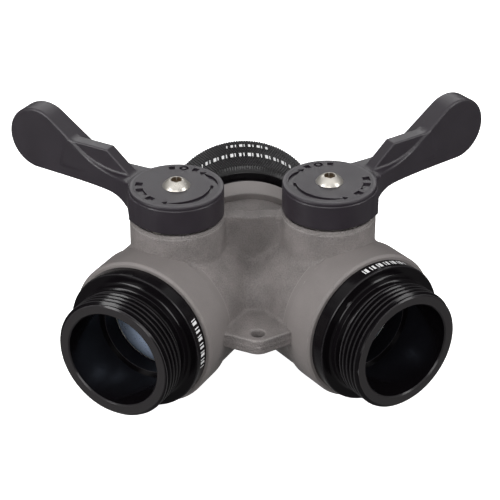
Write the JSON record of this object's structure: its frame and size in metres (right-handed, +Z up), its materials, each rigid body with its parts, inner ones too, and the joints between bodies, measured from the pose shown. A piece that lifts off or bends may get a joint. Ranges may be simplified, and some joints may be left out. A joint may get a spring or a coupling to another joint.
{
  "type": "hose splitter",
  "caption": "Wye splitter for lay-flat hose: a swivel threaded inlet feeds threaded outlets, each shut by its own quarter-turn ball valve with a paddle handle.",
  "frame": {"origin": "centre of the inlet opening, on the swivel ring's outer face", "axes": "+Y out of the inlet along its axis, +Z up along the valve stems to the handles, +X towards the right-hand valve as seen from the outlets' side"},
  "size_m": [0.1878, 0.1274, 0.0997],
  "materials": {
    "body": "bead-blasted, hard-anodised warm grey casting",
    "black_anodised": "turned, glossy black anodised",
    "handle_coat": "satin black coated die casting",
    "stainless": "bright stainless steel",
    "ball_metal": "hard chrome plated and polished",
    "plug_steel": "black oxide steel",
    "ptfe": "white PTFE",
    "bronze": "sintered bronze",
    "seal_rubber": "black moulded rubber"
  },
  "bodies": {
    "housing": {"body": "body", "left_outlet_adapter": "black_anodised", "left_adapter_oring": "seal_rubber", "left_outer_seat": "ptfe", "left_inner_seat": "ptfe", "left_seat_energiser": "seal_rubber", "left_thrust_washer": "ptfe", "left_stem_bush": "bronze", "left_handle_washer": "ptfe", "left_stop_pin": "stainless", "right_outlet_adapter": "black_anodised", "right_adapter_oring": "seal_rubber", "right_outer_seat": "ptfe", "right_inner_seat": "ptfe", "right_seat_energiser": "seal_rubber", "right_thrust_washer": "ptfe", "right_stem_bush": "bronze", "right_handle_washer": "ptfe", "right_stop_pin": "stainless", "inlet_tailpiece": "black_anodised", "tailpiece_oring": "seal_rubber", "swivel_oring": "seal_rubber", "swivel_balls": "stainless"},
    "left_valve": {"left_ball": "ball_metal", "left_stem": "stainless", "left_stem_orings": "seal_rubber", "left_handle": "handle_coat", "left_handle_screw": "stainless"},
    "right_valve": {"right_ball": "ball_metal", "right_stem": "stainless", "right_stem_orings": "seal_rubber", "right_handle": "handle_coat", "right_handle_screw": "stainless"},
    "swivel": {"swivel_ring": "black_anodised", "swivel_ball_plug": "plug_steel", "inlet_gasket": "seal_rubber"}
  },
  "joints": [
    {"name": "left_handle_turn", "type": "hinge", "parent": "housing", "child": "left_valve", "pos_m": [-0.029, -0.0738, 0.04], "axis": [0, 0, 1], "range_deg": [0, 91.4]},
    {"name": "right_handle_turn", "type": "hinge", "parent": "housing", "child": "right_valve", "pos_m": [0.029, -0.0738, 0.04], "axis": [0, 0, 1], "range_deg": [-90, 0]},
    {"name": "swivel_spin", "type": "hinge", "parent": "housing", "child": "swivel", "pos_m": [0, -0.0125, 0], "axis": [0, 1, 0], "continuous": true}
  ]
}
